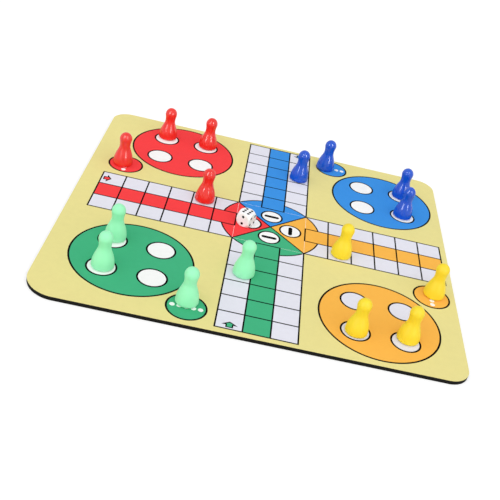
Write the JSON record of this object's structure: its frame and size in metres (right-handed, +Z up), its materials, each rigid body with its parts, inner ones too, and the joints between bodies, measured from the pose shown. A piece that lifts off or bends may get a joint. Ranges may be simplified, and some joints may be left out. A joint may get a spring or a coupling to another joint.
{
  "type": "flying chess play mat",
  "caption": "Flat rubber-backed cloth mat printed with a cross-shaped race board, with loose ball-headed pawns and a pipped die standing on it.",
  "frame": {"origin": "middle of the mat's underside", "axes": "+X to the right along the mat's longer side, +Y to the far side, +Z up out of the printed face"},
  "size_m": [0.2606, 0.2528, 0.0272],
  "materials": {
    "rubber": "matt black rubber with a fine grip texture",
    "cloth": "fine knit polyester, printed",
    "pawn_red": "glossy moulded plastic",
    "pawn_blue": "glossy moulded plastic",
    "pawn_green": "milky, slightly see-through moulded plastic",
    "pawn_yellow": "glossy moulded plastic",
    "die": "polished moulded plastic, black pips"
  },
  "bodies": {
    "mat": {"rubber_base": "rubber", "cloth_top": "cloth"},
    "pawn_red_1": {"pawn_red_1": "pawn_red"},
    "pawn_red_2": {"pawn_red_2": "pawn_red"},
    "pawn_red_3": {"pawn_red_3": "pawn_red"},
    "pawn_red_4": {"pawn_red_4": "pawn_red"},
    "pawn_blue_1": {"pawn_blue_1": "pawn_blue"},
    "pawn_blue_2": {"pawn_blue_2": "pawn_blue"},
    "pawn_blue_3": {"pawn_blue_3": "pawn_blue"},
    "pawn_blue_4": {"pawn_blue_4": "pawn_blue"},
    "pawn_green_1": {"pawn_green_1": "pawn_green"},
    "pawn_green_2": {"pawn_green_2": "pawn_green"},
    "pawn_green_3": {"pawn_green_3": "pawn_green"},
    "pawn_green_4": {"pawn_green_4": "pawn_green"},
    "pawn_yellow_1": {"pawn_yellow_1": "pawn_yellow"},
    "pawn_yellow_2": {"pawn_yellow_2": "pawn_yellow"},
    "pawn_yellow_3": {"pawn_yellow_3": "pawn_yellow"},
    "pawn_yellow_4": {"pawn_yellow_4": "pawn_yellow"},
    "die": {"die": "die"}
  },
  "joints": [
    {"name": "lift_pawn_red_1", "type": "slide", "parent": "mat", "child": "pawn_red_1", "axis": [0, 0, 1], "range_m": [0, 0.03]},
    {"name": "lift_pawn_red_2", "type": "slide", "parent": "mat", "child": "pawn_red_2", "axis": [0, 0, 1], "range_m": [0, 0.03]},
    {"name": "lift_pawn_red_3", "type": "slide", "parent": "mat", "child": "pawn_red_3", "axis": [0, 0, 1], "range_m": [0, 0.03]},
    {"name": "lift_pawn_red_4", "type": "slide", "parent": "mat", "child": "pawn_red_4", "axis": [0, 0, 1], "range_m": [0, 0.03]},
    {"name": "lift_pawn_blue_1", "type": "slide", "parent": "mat", "child": "pawn_blue_1", "axis": [0, 0, 1], "range_m": [0, 0.03]},
    {"name": "lift_pawn_blue_2", "type": "slide", "parent": "mat", "child": "pawn_blue_2", "axis": [0, 0, 1], "range_m": [0, 0.03]},
    {"name": "lift_pawn_blue_3", "type": "slide", "parent": "mat", "child": "pawn_blue_3", "axis": [0, 0, 1], "range_m": [0, 0.03]},
    {"name": "lift_pawn_blue_4", "type": "slide", "parent": "mat", "child": "pawn_blue_4", "axis": [0, 0, 1], "range_m": [0, 0.03]},
    {"name": "lift_pawn_green_1", "type": "slide", "parent": "mat", "child": "pawn_green_1", "axis": [0, 0, 1], "range_m": [0, 0.03]},
    {"name": "lift_pawn_green_2", "type": "slide", "parent": "mat", "child": "pawn_green_2", "axis": [0, 0, 1], "range_m": [0, 0.03]},
    {"name": "lift_pawn_green_3", "type": "slide", "parent": "mat", "child": "pawn_green_3", "axis": [0, 0, 1], "range_m": [0, 0.03]},
    {"name": "lift_pawn_green_4", "type": "slide", "parent": "mat", "child": "pawn_green_4", "axis": [0, 0, 1], "range_m": [0, 0.03]},
    {"name": "lift_pawn_yellow_1", "type": "slide", "parent": "mat", "child": "pawn_yellow_1", "axis": [0, 0, 1], "range_m": [0, 0.03]},
    {"name": "lift_pawn_yellow_2", "type": "slide", "parent": "mat", "child": "pawn_yellow_2", "axis": [0, 0, 1], "range_m": [0, 0.03]},
    {"name": "lift_pawn_yellow_3", "type": "slide", "parent": "mat", "child": "pawn_yellow_3", "axis": [0, 0, 1], "range_m": [0, 0.03]},
    {"name": "lift_pawn_yellow_4", "type": "slide", "parent": "mat", "child": "pawn_yellow_4", "axis": [0, 0, 1], "range_m": [0, 0.03]},
    {"name": "lift_die", "type": "slide", "parent": "mat", "child": "die", "axis": [0, 0, 1], "range_m": [0, 0.03]}
  ]
}
